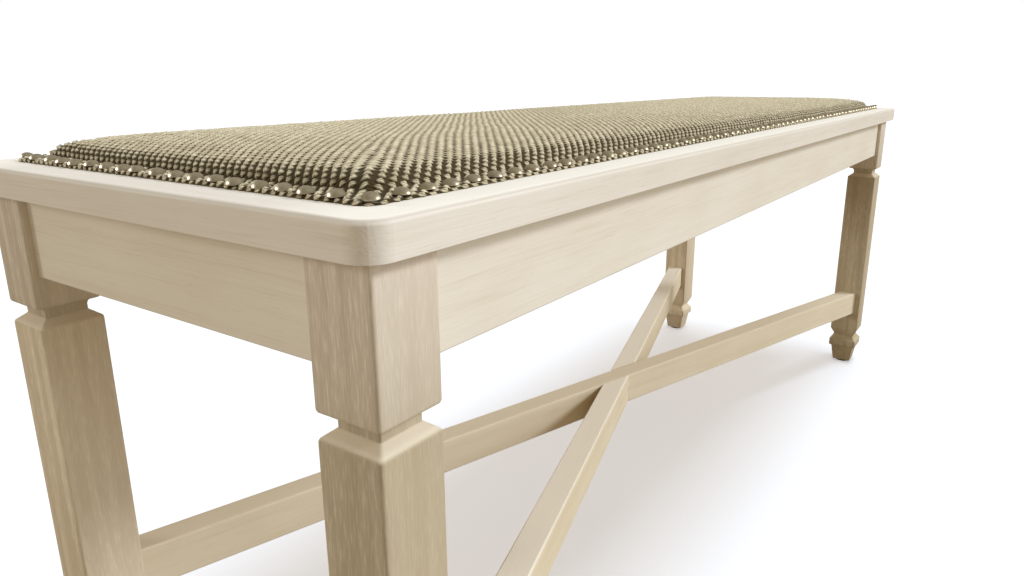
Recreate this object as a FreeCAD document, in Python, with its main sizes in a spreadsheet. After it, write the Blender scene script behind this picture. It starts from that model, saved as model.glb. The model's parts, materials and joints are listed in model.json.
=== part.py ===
import FreeCAD, Part
import math
import os
import re
import Sketcher

# Dining bench: four moulded legs, aprons tenoned into them, a half-lapped cross stretcher
# and a bordered, upholstered seat edged with nailheads.
# Millimetres. X runs along the bench, Y from front to back, Z up from the floor.

SIZES = {
    # Overall
    "seat_length": 1240,
    "seat_depth": 393,
    "base_height": 435,
    # Wooden border of the seat
    "rail_width": 64,
    "rail_thickness": 19,
    "border_corner": 15,
    "border_top_round": 3,
    "overhang": 10.5,
    # Legs
    "leg_width": 44,
    "leg_arris": 2,
    "block_bottom": 356,
    "ovolo": 2.2,
    "ledge": 0.9,
    "cove": 4.2,
    "neck_height": 4.2,
    "shaft_slope": 4.8,
    "shaft_arris": 1,
    "shaft_bottom": 64,
    "ankle_depth": 6.6,
    "ankle_slope": 13,
    "collar_top": 44,
    "collar_arris": 1.6,
    "collar_bottom": 31,
    "foot_step": 3.6,
    "foot_inset": 8,
    # Foot glides
    "glide_height": 3,
    "glide_radius": 11,
    "glide_pin_radius": 1.4,
    "glide_pin_length": 14,
    # Aprons and their tenons
    "apron_height": 58,
    "apron_thickness": 19,
    "apron_setback": 5,
    "apron_round": 1.5,
    "tenon_thickness": 9,
    "tenon_length": 18,
    "tenon_shoulder": 9,
    # Cross stretcher
    "stretcher_top": 134,
    "stretcher_height": 38,
    "stretcher_width": 26,
    "stretcher_round": 2,
    "stretcher_tenon_width": 12,
    "stretcher_tenon_height": 24,
    "stretcher_tenon_length": 16,
    # Seat board, the rebate it drops into and the battens under it
    "board_thickness": 12,
    "rebate_width": 10,
    "batten_place": 190,
    "batten_width": 45,
    "brace_thickness": 22,
    "housing_depth": 6,
    # Corner blocks behind the legs
    "block_width": 28,
    "block_gap": 0.5,
    # Loose tongues in the border's mitres
    "spline_length": 36,
    "spline_width": 24,
    "spline_thickness": 4,
    "spline_place": 42,
    "spline_lift": 5,
    # Wood screws
    "screw_length": 36,
    "screw_radius": 2,
    "screw_head_radius": 4,
    "screw_head_height": 2.4,
    "screw_row": 49,
    "screw_end": 78,
    # Upholstery
    "fabric_margin": 24,
    "fabric_corner": 10,
    "fabric_thickness": 2,
    "hem_width": 11,
    "hem_thickness": 3,
    "pad_corner": 15,
    "shoulder_run": 14,
    "shoulder_rise": 15.8,
    "crown_run": 110,
    "crown_rise": 4.2,
    # Nailheads
    "nail_radius": 4.5,
    "nail_rise": 3.6,
    "nail_slope": 40,
    "nail_pitch": 18.3,
    "nail_inset": 4.75,
    "nail_corner": 2.5,
    # Clearances
    "fit_clearance": 0.15,
    "end_clearance": 1,
    "pad_clearance": 0.3,
}

# Places worked out from the sizes
LEG_X = "(seat_length / 2 - overhang - leg_width / 2)"
LEG_Y = "(seat_depth / 2 - overhang - leg_width / 2)"
INNER_X = "(seat_length / 2 - overhang - leg_width)"
INNER_Y = "(seat_depth / 2 - overhang - leg_width)"
APRON_INSET = "(overhang + apron_setback)"
CORNER_X = f"(seat_length / 2 - {APRON_INSET} - apron_thickness)"
CORNER_Y = f"(seat_depth / 2 - {APRON_INSET} - apron_thickness)"
APRON_BOTTOM = "(base_height - apron_height)"
SEAT_TOP = "(base_height + rail_thickness)"
BOARD_BOTTOM = "(base_height + rail_thickness - board_thickness)"
BRACE_BOTTOM = "(base_height - brace_thickness)"
CROSS_ANGLE = f"atan({LEG_Y} / {INNER_X})"
SCREW_Y = "(seat_depth / 2 - screw_row)"
SCREW_X = "(seat_length / 2 - screw_end)"
NAIL_X = "(seat_length / 2 - fabric_margin - nail_inset)"
NAIL_Y = "(seat_depth / 2 - fabric_margin - nail_inset)"
NECK_DEPTH = "(ovolo + ledge + cove)"

CORNERS = {"front_left": (-1, -1), "front_right": (1, -1), "back_left": (-1, 1), "back_right": (1, 1)}
SIDES = {"front": 0, "right": 90, "back": 180, "left": 270}
NAIL_SIDES = 8
ROD_SIDES = 8
GLIDE_SIDES = 16
SHOULDER_STEPS = 5
CROWN_STEPS = 3
CUT_SPILL = 5
TOUCH = 0.01

doc = FreeCAD.newDocument("dining_bench")
sheet = doc.addObject("Spreadsheet::Sheet", "sizes")
for row, (alias, size) in enumerate(SIZES.items(), 1):
    sheet.set(f"A{row}", alias)
    sheet.set(f"B{row}", str(size))
    sheet.setAlias(f"B{row}", alias)
doc.recompute()
pieces = []


def bound(text):
    """The expression with each size name pointing at its cell."""
    return re.sub(r"[a-z_]+", lambda word: f"sizes.{word[0]}" if word[0] in SIZES else word[0], str(text))


def value(text):
    """What an expression comes to now, in millimetres or degrees."""
    result = sheet.evalExpression(bound(text))
    return float(getattr(result, "Value", result))


def new_piece(label):
    body = doc.addObject("PartDesign::Body", label)
    body.Label = label
    pieces.append(body)
    return body


def place(thing, x, y, z, yaw=0, pitch=0, shift=(0, 0, 0)):
    """Puts a thing at x, y, z, turned, and then shifted along its own turned axes."""
    turned = f"placement(vector({x}; {y}; {z}); rotation({yaw}; {pitch}; 0))"
    moved = f"placement(vector({shift[0]}; {shift[1]}; {shift[2]}); rotation(0; 0; 0))"
    thing.setExpression("Placement", bound(f"{turned} * {moved}"))


def solid(body, kind, **sizes):
    """Adds or cuts a primitive, such as AdditiveBox or SubtractivePrism."""
    feature = body.newObject(f"PartDesign::{kind}", kind)
    for name, text in sizes.items():
        feature.setExpression(name, bound(text))
    return feature


def box(body, kind, length, width, height):
    return solid(body, f"{kind}Box", Length=length, Width=width, Height=height)


def rod(body, kind, radius, height):
    """A small round bar or bore, faceted because it repeats."""
    bar = solid(body, f"{kind}Prism", Circumradius=radius, Height=height)
    bar.Polygon = ROD_SIDES
    return bar


def new_sketch(body, plane, offset="0"):
    """A sketch on one of the body's own planes, moved along that plane's normal."""
    planes = {feature.Role: feature for feature in body.Origin.OriginFeatures}
    sketch = body.newObject("Sketcher::SketchObject", "sketch")
    sketch.AttachmentSupport = [(planes[plane], "")]
    sketch.MapMode = "FlatFace"
    sketch.setExpression("AttachmentOffset", bound(f"placement(vector(0; 0; {offset}); rotation(0; 0; 0))"))
    return sketch


def arc_between(start, stop, radius, turn):
    """The arc of under a half circle from start to stop that turns left or right."""
    chord = stop - start
    side = 1 if turn == "left" else -1
    across = FreeCAD.Vector(-chord.y, chord.x, 0).normalize() * side
    centre = (start + stop) * 0.5 + across * math.sqrt(max(radius**2 - (chord.Length / 2) ** 2, 0))
    first, last = (start, stop) if turn == "left" else (stop, start)
    angles = [math.atan2(spot.y - centre.y, spot.x - centre.x) for spot in (first, last)]
    return Part.ArcOfCircle(Part.Circle(centre, FreeCAD.Vector(0, 0, 1), radius), *angles)


def outline(sketch, corners):
    """A closed outline through corners (x, y); one with a radius and a turn starts an arc."""
    spots = [FreeCAD.Vector(value(corner[0]), value(corner[1]), 0) for corner in corners]
    edges = []
    joins = []
    dimensions = []
    for corner, start, stop in zip(corners, spots, spots[1:] + spots[:1]):
        if len(corner) == 2:
            edges.append((sketch.addGeometry(Part.LineSegment(start, stop)), 1, 2))
            continue
        arc = sketch.addGeometry(arc_between(start, stop, value(corner[2]), corner[3]))
        edges.append((arc, 1, 2) if corner[3] == "left" else (arc, 2, 1))
        dimensions.append((corner[2], "Radius", arc))
    for (edge, _, stop), (after, start, _) in zip(edges, edges[1:] + edges[:1]):
        joins.append(Sketcher.Constraint("Coincident", edge, stop, after, start))
    for corner, (edge, start, _) in zip(corners, edges):
        for kind, text, axis in (("DistanceX", corner[0], -2), ("DistanceY", corner[1], -1)):
            if text == "0":
                joins.append(Sketcher.Constraint("PointOnObject", edge, start, axis))
            else:
                dimensions.append((text, kind, -1, 1, edge, start))
    sketch.addConstraint(joins)
    limits = [Sketcher.Constraint(*ends, value(text)) for text, *ends in dimensions]
    for index, (text, *_) in zip(sketch.addConstraint(limits), dimensions):
        sketch.renameConstraint(index, f"size_{index}")
        sketch.setExpression(f"Constraints.size_{index}", bound(text))


def rounded_rectangle(sketch, half_x, half_y, radius):
    outline(
        sketch,
        [
            (f"{radius} - {half_x}", f"-{half_y}"),
            (f"{half_x} - {radius}", f"-{half_y}", radius, "left"),
            (half_x, f"{radius} - {half_y}"),
            (half_x, f"{half_y} - {radius}", radius, "left"),
            (f"{half_x} - {radius}", half_y),
            (f"{radius} - {half_x}", half_y, radius, "left"),
            (f"-{half_x}", f"{half_y} - {radius}"),
            (f"-{half_x}", f"{radius} - {half_y}", radius, "left"),
        ],
    )


def extrude(body, kind, sketch, length):
    """A Pad along the sketch's normal, or a Pocket against it."""
    feature = body.newObject(f"PartDesign::{kind}", kind.lower())
    feature.Profile = sketch
    feature.setExpression("Length", bound(length))
    doc.recompute()
    return feature


def round_edges(body, base, radius, wanted):
    """Rounds those edges of the base feature that the test picks out."""
    doc.recompute()
    names = [f"Edge{i}" for i, edge in enumerate(base.Shape.Edges, 1) if wanted(edge)]
    fillet = body.newObject("PartDesign::Fillet", "fillet")
    fillet.Base = (base, names)
    fillet.setExpression("Radius", bound(radius))
    return fillet


def screw(body, x, y, z):
    """A pan-head wood screw driven upwards, with its head under the level z."""
    head = rod(body, "Additive", "screw_head_radius", "screw_head_height")
    shank = rod(body, "Additive", "screw_radius", "screw_length")
    place(head, x, y, f"{z} - screw_head_height")
    place(shank, x, y, z)


def screw_hole(body, x, y, z):
    """The hole that such a screw fills."""
    hole = rod(body, "Subtractive", "screw_radius + fit_clearance", "screw_length + end_clearance")
    place(hole, x, y, z)


def leg_profile_cuts(sketch):
    """The waste beside the leg: the notch under the top block, and the ankle, collar and foot."""
    face = "leg_width / 2"
    top = "block_bottom"
    neck_top = f"{top} - ovolo - cove"
    neck_bottom = f"{neck_top} - neck_height"
    shaft_top = f"{neck_bottom} - shaft_slope"
    ankle = "shaft_bottom - ankle_slope"
    notch = [
        (f"{face} + {CUT_SPILL}", top),
        (face, top, "ovolo", "right"),
        (f"{face} - ovolo", f"{top} - ovolo"),
        (f"{face} - ovolo - ledge", f"{top} - ovolo", "cove", "left"),
        (f"{face} - {NECK_DEPTH}", neck_top),
        (f"{face} - {NECK_DEPTH}", neck_bottom),
        (f"{face} - shaft_arris", shaft_top),
        (face, f"{shaft_top} - shaft_arris"),
        (f"{face} + {CUT_SPILL}", f"{shaft_top} - shaft_arris"),
    ]
    foot = [
        (f"{face} + {CUT_SPILL}", "shaft_bottom"),
        (face, "shaft_bottom"),
        (f"{face} - ankle_depth", ankle),
        (f"{face} - collar_arris", "collar_top"),
        (face, "collar_top - collar_arris"),
        (face, "collar_bottom + collar_arris"),
        (f"{face} - collar_arris", "collar_bottom"),
        (f"{face} - foot_step", "collar_bottom"),
        (f"{face} - foot_inset", "glide_height"),
        (f"{face} - foot_inset", f"glide_height - {CUT_SPILL}"),
        (f"{face} + {CUT_SPILL}", f"glide_height - {CUT_SPILL}"),
    ]
    swap = {"left": "right", "right": "left"}
    for half in (notch, foot):
        outline(sketch, half)
        outline(sketch, [(f"-({c[0]})", c[1], *((c[2], swap[c[3]]) if len(c) > 2 else ())) for c in half])


def make_leg(name, side_x, side_y):
    body = new_piece(f"leg_{name}")
    square = new_sketch(body, "XY_Plane", "glide_height")
    half, eased = "leg_width / 2", "(leg_width / 2 - leg_arris)"
    corners = [(half, eased), (eased, half), (f"-{eased}", half), (f"-{half}", eased)]
    outline(square, corners + [(f"-({x})", f"-({y})") for x, y in corners])
    extrude(body, "Pad", square, "base_height - glide_height")
    for plane in ("XZ_Plane", "YZ_Plane"):
        profile = new_sketch(body, plane, "leg_width")
        leg_profile_cuts(profile)
        extrude(body, "Pocket", profile, "2 * leg_width")
    # Mortises for the apron tenons, cut from the two inner faces
    centre = "(leg_width / 2 - apron_setback - apron_thickness / 2)"
    for inward, across in ((90 + 90 * side_x, -side_x * side_y), (-90 * side_y, side_x * side_y)):
        mortise = box(
            body,
            "Subtractive",
            "tenon_length + end_clearance",
            "tenon_thickness + 2 * fit_clearance",
            "apron_height - 2 * tenon_shoulder + 2 * fit_clearance",
        )
        shift = (
            "leg_width / 2 - tenon_length - end_clearance",
            f"{across} * {centre} - tenon_thickness / 2 - fit_clearance",
            f"{APRON_BOTTOM} + tenon_shoulder - fit_clearance",
        )
        place(mortise, 0, 0, 0, inward, 0, shift)
    # Mortise for the stretcher tenon, along the diagonal
    tenon = box(
        body,
        "Subtractive",
        "leg_width / 2 + stretcher_tenon_length + end_clearance",
        "stretcher_tenon_width + 2 * fit_clearance",
        "stretcher_tenon_height + 2 * fit_clearance",
    )
    shift = (
        "-leg_width / 2",
        "-stretcher_tenon_width / 2 - fit_clearance",
        "stretcher_top - stretcher_height / 2 - stretcher_tenon_height / 2 - fit_clearance",
    )
    yaw = f"{side_x * side_y} * {CROSS_ANGLE} + {90 - 90 * side_x} deg"
    place(tenon, f"{-side_x} * leg_width / 2", 0, 0, yaw, 0, shift)
    pin = rod(body, "Subtractive", "glide_pin_radius + fit_clearance", "glide_pin_length + end_clearance")
    place(pin, 0, 0, "glide_height")
    place(body, f"{side_x} * {LEG_X}", f"{side_y} * {LEG_Y}", 0)


def make_glides():
    """Nailed glides: a round disc under each foot, with a pin up into it."""
    body = new_piece("foot_glides")
    for side_x, side_y in CORNERS.values():
        disc = rod(body, "Additive", "glide_radius", "glide_height")
        disc.Polygon = GLIDE_SIDES
        pin = rod(body, "Additive", "glide_pin_radius", "glide_pin_length")
        place(disc, f"{side_x} * {LEG_X}", f"{side_y} * {LEG_Y}", 0)
        place(pin, f"{side_x} * {LEG_X}", f"{side_y} * {LEG_Y}", "glide_height")


def make_apron(name, yaw):
    """An apron with a stub tenon at each end; its inner face looks along its own +Y."""
    long_side = name in ("front", "back")
    half = INNER_X if long_side else INNER_Y
    reach = "(seat_depth / 2)" if long_side else "(seat_length / 2)"
    body = new_piece(f"apron_{name}")
    section = new_sketch(body, "YZ_Plane", f"-{half}")
    thick = "apron_thickness / 2"
    outline(
        section,
        [
            (f"apron_round - {thick}", APRON_BOTTOM),
            (f"{thick} - apron_round", APRON_BOTTOM, "apron_round", "left"),
            (thick, f"{APRON_BOTTOM} + apron_round"),
            (thick, "base_height"),
            (f"-{thick}", "base_height"),
            (f"-{thick}", f"{APRON_BOTTOM} + apron_round", "apron_round", "left"),
        ],
    )
    extrude(body, "Pad", section, f"2 * {half}")
    for side in (-1, 1):
        tenon = box(body, "Additive", "tenon_length", "tenon_thickness", "apron_height - 2 * tenon_shoulder")
        end = half if side > 0 else f"-{half} - tenon_length"
        place(tenon, end, "-tenon_thickness / 2", f"{APRON_BOTTOM} + tenon_shoulder")
        if long_side:
            housing = box(
                body,
                "Subtractive",
                "batten_width + 2 * fit_clearance",
                "housing_depth + end_clearance",
                "brace_thickness + end_clearance",
            )
            start = f"{side} * batten_place - batten_width / 2 - fit_clearance"
            place(housing, start, f"{thick} - housing_depth", BRACE_BOTTOM)
    place(body, 0, 0, 0, yaw, 0, (0, f"{APRON_INSET} + {thick} - {reach}", 0))


def make_corner_block(name, side_x, side_y):
    """A brace glued across the corner of two aprons behind a leg, with a screw up into the border."""
    body = new_piece(f"corner_block_{name}")
    plan = new_sketch(body, "XY_Plane", BRACE_BOTTOM)
    near = "(2 * (leg_width - apron_setback - apron_thickness) + block_gap * sqrt(2))"
    far = f"({near} + block_width * sqrt(2))"
    outline(
        plan,
        [
            (f"{-side_x} * {near}", "0"),
            (f"{-side_x} * {far}", "0"),
            ("0", f"{-side_y} * {far}"),
            ("0", f"{-side_y} * {near}"),
        ],
    )
    extrude(body, "Pad", plan, "brace_thickness")
    x = f"{side_x} * ({SCREW_X} - {CORNER_X})"
    y = f"{side_y} * ({SCREW_Y} - {CORNER_Y})"
    screw_hole(body, x, y, BRACE_BOTTOM)
    place(body, f"{side_x} * {CORNER_X}", f"{side_y} * {CORNER_Y}", 0)


def make_border(name, yaw):
    """A mitred rail of the border; its outer edge looks along its own -Y."""
    long_side = name in ("front", "back")
    half, reach = ("seat_length / 2", "seat_depth / 2") if long_side else ("seat_depth / 2", "seat_length / 2")
    body = new_piece(f"border_{name}")
    plan = new_sketch(body, "XY_Plane", "base_height")
    tip = "border_corner * (1 - 1 / sqrt(2))"
    outline(
        plan,
        [
            (f"border_corner - {half}", f"-{reach}"),
            (f"{half} - border_corner", f"-{reach}", "border_corner", "left"),
            (f"{half} - {tip}", f"{tip} - {reach}"),
            (f"{half} - rail_width", f"rail_width - {reach}"),
            (f"rail_width - {half}", f"rail_width - {reach}"),
            (f"{tip} - {half}", f"{tip} - {reach}", "border_corner", "left"),
        ],
    )
    board = extrude(body, "Pad", plan, "rail_thickness")
    top, inner = value(SEAT_TOP), value(f"border_corner - {reach}")
    round_edges(
        body,
        board,
        "border_top_round",
        lambda edge: all(spot.Z > top - TOUCH and spot.Y < inner - TOUCH for spot in edge.Vertexes),
    )
    rebate = box(
        body,
        "Subtractive",
        f"2 * ({half} - rail_width + rebate_width)",
        "rebate_width + end_clearance",
        "board_thickness + end_clearance",
    )
    place(rebate, f"rail_width - rebate_width - {half}", f"rail_width - rebate_width - {reach}", BOARD_BOTTOM)
    for side in (-1, 1):
        slot = box(
            body,
            "Subtractive",
            "spline_length + 2 * fit_clearance",
            "spline_width + 2 * fit_clearance",
            "spline_thickness + 2 * fit_clearance",
        )
        shift = ("-spline_length / 2 - fit_clearance", "-spline_width / 2 - fit_clearance", "-fit_clearance")
        inset = "spline_place / sqrt(2)"
        x = f"{side} * ({half} - {inset})"
        place(slot, x, f"{inset} - {reach}", "base_height + spline_lift", -45 * side, 0, shift)
        if long_side:
            for x in ("batten_place", SCREW_X):
                screw_hole(body, f"{side} * {x}", f"-{SCREW_Y}", BRACE_BOTTOM)
    place(body, 0, 0, 0, yaw)


def make_splines():
    """A loose tongue across each mitre of the border."""
    body = new_piece("mitre_splines")
    inset = "spline_place / sqrt(2)"
    shift = ("-spline_length / 2", "-spline_width / 2", 0)
    for side_x, side_y in CORNERS.values():
        tongue = box(body, "Additive", "spline_length", "spline_width", "spline_thickness")
        x, y = f"{side_x} * (seat_length / 2 - {inset})", f"{side_y} * (seat_depth / 2 - {inset})"
        place(tongue, x, y, "base_height + spline_lift", 45 * side_x * side_y, 0, shift)


def make_board():
    body = new_piece("seat_board")
    length = "(seat_length - 2 * rail_width + 2 * rebate_width - 2 * fit_clearance)"
    depth = "(seat_depth - 2 * rail_width + 2 * rebate_width - 2 * fit_clearance)"
    box(body, "Additive", length, depth, "board_thickness")
    place(body, 0, 0, BOARD_BOTTOM, 0, 0, (f"-{length} / 2", f"-{depth} / 2", 0))


def make_batten(name, side):
    """A cross batten: housed in both long aprons, with a raised middle that carries the board."""
    body = new_piece(f"seat_batten_{name}")
    section = new_sketch(body, "YZ_Plane", "-batten_width / 2")
    end = f"({CORNER_Y} + housing_depth - fit_clearance)"
    middle = "(seat_depth / 2 - rail_width - fit_clearance)"
    outline(
        section,
        [
            (f"-{end}", BRACE_BOTTOM),
            (end, BRACE_BOTTOM),
            (end, "base_height"),
            (middle, "base_height"),
            (middle, BOARD_BOTTOM),
            (f"-{middle}", BOARD_BOTTOM),
            (f"-{middle}", "base_height"),
            (f"-{end}", "base_height"),
        ],
    )
    extrude(body, "Pad", section, "batten_width")
    for row in (-1, 1):
        screw_hole(body, 0, f"{row} * {SCREW_Y}", BRACE_BOTTOM)
    place(body, f"{side} * batten_place", 0, 0)


def make_seat_screws():
    """Screws up into the border, through the battens and the corner blocks."""
    body = new_piece("seat_screws")
    for side_x, side_y in CORNERS.values():
        for along in ("batten_place", SCREW_X):
            screw(body, f"{side_x} * {along}", f"{side_y} * {SCREW_Y}", BRACE_BOTTOM)


def make_stretcher(name, slope, lap_from_below):
    """One diagonal of the cross stretcher, tenoned at both ends and halved where they cross."""
    body = new_piece(f"stretcher_{name}")
    plan = new_sketch(body, "XY_Plane", "stretcher_top - stretcher_height")
    across = f"stretcher_width / 2 / cos({CROSS_ANGLE})"
    outline(
        plan,
        [
            (f"-{INNER_X}", f"{-slope} * {LEG_Y} - {across}"),
            (INNER_X, f"{slope} * {LEG_Y} - {across}"),
            (INNER_X, f"{slope} * {LEG_Y} + {across}"),
            (f"-{INNER_X}", f"{-slope} * {LEG_Y} + {across}"),
        ],
    )
    bar = extrude(body, "Pad", plan, "stretcher_height")
    round_edges(body, bar, "stretcher_round", lambda edge: edge.Length > value(INNER_X))
    yaw = f"{slope} * {CROSS_ANGLE}"
    for side in (-1, 1):
        overlap = "stretcher_width"
        tenon = box(
            body,
            "Additive",
            f"stretcher_tenon_length + {overlap}",
            "stretcher_tenon_width",
            "stretcher_tenon_height",
        )
        shift = (
            f"-{overlap}",
            "-stretcher_tenon_width / 2",
            "stretcher_top - stretcher_height / 2 - stretcher_tenon_height / 2",
        )
        turn = f"{yaw} + {90 - 90 * side} deg"
        place(tenon, f"{side} * {INNER_X}", f"{side * slope} * {LEG_Y}", 0, turn, 0, shift)
    lap = box(
        body,
        "Subtractive",
        "4 * stretcher_width",
        "stretcher_width + 2 * fit_clearance",
        "stretcher_height / 2 + fit_clearance + end_clearance",
    )
    middle = "stretcher_top - stretcher_height / 2"
    bottom = "stretcher_top - stretcher_height - end_clearance" if lap_from_below else middle
    shift = ("-2 * stretcher_width", "-stretcher_width / 2 - fit_clearance", bottom)
    place(lap, 0, 0, 0, f"{-slope} * {CROSS_ANGLE}", 0, shift)
    screw_hole(body, 0, 0, "stretcher_top - stretcher_height")


def make_lap_screw():
    screw(new_piece("lap_screw"), 0, 0, "stretcher_top - stretcher_height")


def pad_sections(body, inset, lead_in=False):
    """Rings up the pad, inset from its skin: sides drawn in on a quarter ellipse, then a low crown."""
    half_x = f"(seat_length / 2 - fabric_margin - hem_width - {inset})"
    half_y = f"(seat_depth / 2 - fabric_margin - hem_width - {inset})"
    rings = [("0", f"-{CUT_SPILL}")] if lead_in else []
    for step in range(SHOULDER_STEPS + 1):
        angle = f"{90 * step / SHOULDER_STEPS} deg"
        rings.append((f"shoulder_run * (1 - cos({angle}))", f"(shoulder_rise - {inset}) * sin({angle})"))
    for step in range(1, CROWN_STEPS + 1):
        share = step / CROWN_STEPS
        rise = f"shoulder_rise - {inset} + crown_rise * {1 - (1 - share) ** 2}"
        rings.append((f"(shoulder_run + crown_run * {share})", rise))
    sections = []
    for run, rise in rings:
        section = new_sketch(body, "XY_Plane", f"{SEAT_TOP} + {rise}")
        rounded_rectangle(section, f"({half_x} - {run})", f"({half_y} - {run})", "pad_corner")
        sections.append(section)
    return sections


def loft(body, kind, sections):
    feature = body.newObject(f"PartDesign::{kind}Loft", "loft")
    feature.Profile = sections[0]
    feature.Sections = sections[1:]
    feature.Ruled = True
    doc.recompute()


def make_foam():
    body = new_piece("foam_pad")
    loft(body, "Additive", pad_sections(body, "(fabric_thickness + pad_clearance)"))


def make_cover():
    """The fabric: one hollow skin drawn down over the foam, with a flat hem on the border."""
    body = new_piece("fabric_cover")
    hem = new_sketch(body, "XY_Plane", SEAT_TOP)
    half_x, half_y = "(seat_length / 2 - fabric_margin)", "(seat_depth / 2 - fabric_margin)"
    rounded_rectangle(hem, half_x, half_y, "fabric_corner")
    extrude(body, "Pad", hem, "hem_thickness")
    loft(body, "Additive", pad_sections(body, "0"))
    loft(body, "Subtractive", pad_sections(body, "fabric_thickness", lead_in=True))


def make_nails(name, yaw):
    """One side's nailheads, low faceted domes on the hem; the long rows hold the corner nails."""
    long_side = name in ("front", "back")
    along, reach = (NAIL_X, NAIL_Y) if long_side else (NAIL_Y, NAIL_X)
    body = new_piece(f"nailheads_{name}")
    span = f"(2 * ({along} - nail_corner))"
    gaps = f"round({span} / nail_pitch)"
    skipped = 0 if long_side else 1
    start = f"(nail_corner - {along} + {skipped} * {span} / {gaps})"
    plan = new_sketch(body, "XY_Plane", f"{SEAT_TOP} + hem_thickness")
    angles = [360 * (corner + 0.5) / NAIL_SIDES for corner in range(NAIL_SIDES)]
    across = [(f"nail_radius * cos({angle} deg)", f"nail_radius * sin({angle} deg)") for angle in angles]
    outline(plan, [(f"{start} + {x}", f"{y} - {reach}") for x, y in across])
    head = extrude(body, "Pad", plan, "nail_rise")
    level = value(f"{SEAT_TOP} + hem_thickness")
    faces = {"side": [], "bottom": []}
    for index, face in enumerate(head.Shape.Faces, 1):
        if face.BoundBox.ZMax < level + TOUCH:
            faces["bottom"].append(f"Face{index}")
        elif face.BoundBox.ZLength > TOUCH:
            faces["side"].append(f"Face{index}")
    dome = body.newObject("PartDesign::Draft", "dome")
    dome.Base = (head, faces["side"])
    dome.NeutralPlane = (head, faces["bottom"])
    dome.setExpression("Angle", bound("nail_slope"))
    axes = {feature.Role: feature for feature in body.Origin.OriginFeatures}
    row = body.newObject("PartDesign::LinearPattern", "row")
    row.TransformMode = "Whole shape"
    row.Direction = (axes["X_Axis"], [""])
    row.setExpression("Length", bound(f"{span} - {2 * skipped} * {span} / {gaps}"))
    row.setExpression("Occurrences", bound(f"{gaps} + 1 - {2 * skipped}"))
    body.Tip = row
    place(body, 0, 0, 0, yaw)


def check(objects):
    """Stops on a failed feature, a cut that took nothing away or a bad piece."""
    for thing in objects:
        if {"Invalid", "Error"} & set(thing.State):
            raise RuntimeError(f"{thing.Label} failed: {thing.State}")
        cuts = "Subtractive" in thing.TypeId or thing.TypeId == "PartDesign::Pocket"
        if cuts and thing.Shape.Volume > thing.BaseFeature.Shape.Volume - TOUCH:
            raise RuntimeError(f"{thing.Label} cuts nothing")
    for piece in pieces:
        if piece.Shape.isNull() or not piece.Shape.isValid() or not piece.Shape.Solids:
            raise RuntimeError(f"{piece.Label} has no valid solid")


for corner, (side_x, side_y) in CORNERS.items():
    make_leg(corner, side_x, side_y)
    make_corner_block(corner, side_x, side_y)
for side_name, turn in SIDES.items():
    make_apron(side_name, turn)
    make_border(side_name, turn)
    make_nails(side_name, turn)
make_glides()
make_stretcher("over", -1, True)
make_stretcher("under", 1, False)
make_lap_screw()
make_splines()
make_board()
make_batten("left", -1)
make_batten("right", 1)
make_seat_screws()
make_foam()
make_cover()
doc.recompute()
check(doc.Objects)
os.makedirs("parts", exist_ok=True)
for piece in pieces:
    piece.Shape.exportStep(f"parts/{piece.Label}.step")
    print(piece.Label, len(piece.Shape.Solids), round(piece.Shape.Volume))
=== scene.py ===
import json
import math

import bpy
import numpy as np
from mathutils import Euler, Matrix, Vector

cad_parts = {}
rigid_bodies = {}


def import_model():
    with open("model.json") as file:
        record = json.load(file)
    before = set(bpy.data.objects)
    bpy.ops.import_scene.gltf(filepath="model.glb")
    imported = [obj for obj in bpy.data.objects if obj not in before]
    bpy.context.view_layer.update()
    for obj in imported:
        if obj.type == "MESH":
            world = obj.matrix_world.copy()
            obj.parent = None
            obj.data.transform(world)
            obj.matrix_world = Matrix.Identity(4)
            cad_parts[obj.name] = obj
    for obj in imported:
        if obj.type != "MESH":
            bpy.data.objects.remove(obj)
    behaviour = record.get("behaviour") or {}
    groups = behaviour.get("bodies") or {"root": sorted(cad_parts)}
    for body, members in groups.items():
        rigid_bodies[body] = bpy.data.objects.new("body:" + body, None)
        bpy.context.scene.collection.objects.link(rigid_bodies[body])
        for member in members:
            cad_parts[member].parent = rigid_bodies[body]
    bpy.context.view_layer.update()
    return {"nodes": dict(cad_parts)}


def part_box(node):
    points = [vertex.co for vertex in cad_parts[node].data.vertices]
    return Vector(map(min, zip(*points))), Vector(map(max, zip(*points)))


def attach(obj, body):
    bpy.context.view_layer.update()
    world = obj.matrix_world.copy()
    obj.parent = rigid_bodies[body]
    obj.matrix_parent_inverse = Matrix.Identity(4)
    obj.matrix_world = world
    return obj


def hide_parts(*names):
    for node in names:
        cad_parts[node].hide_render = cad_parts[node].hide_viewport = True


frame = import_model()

solids = frame["nodes"]
scene = bpy.context.scene

# LEGS
# Four square legs of birch, moulded on all four sides so the ovolo, cove, ankle and collar
# mitre at the corners, with the arrises eased by sanding. They are sprayed antique white and
# wiped back, which leaves the grain as paler and greyer upright streaks.
leg_rings = [  # half width and height of each ring, from the floor end up, in metres
    (0.0140, 0.0030), (0.0184, 0.0310), (0.0204, 0.0310), (0.0216, 0.0316), (0.0220, 0.0330),
    (0.0220, 0.0420), (0.0216, 0.0434), (0.0204, 0.0440), (0.0168, 0.0484), (0.0154, 0.0510),
    (0.0158, 0.0520), (0.0220, 0.0640), (0.0220, 0.3386), (0.0218, 0.3396), (0.0212, 0.3404),
    (0.0147, 0.3454), (0.0147, 0.3496), (0.0151, 0.3512), (0.0163, 0.3530), (0.0189, 0.3538),
    (0.0198, 0.3538), (0.0214, 0.3544), (0.0220, 0.3560), (0.0220, 0.4350),
]
leg_half = 0.022
leg_arris = 0.0022


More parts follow.
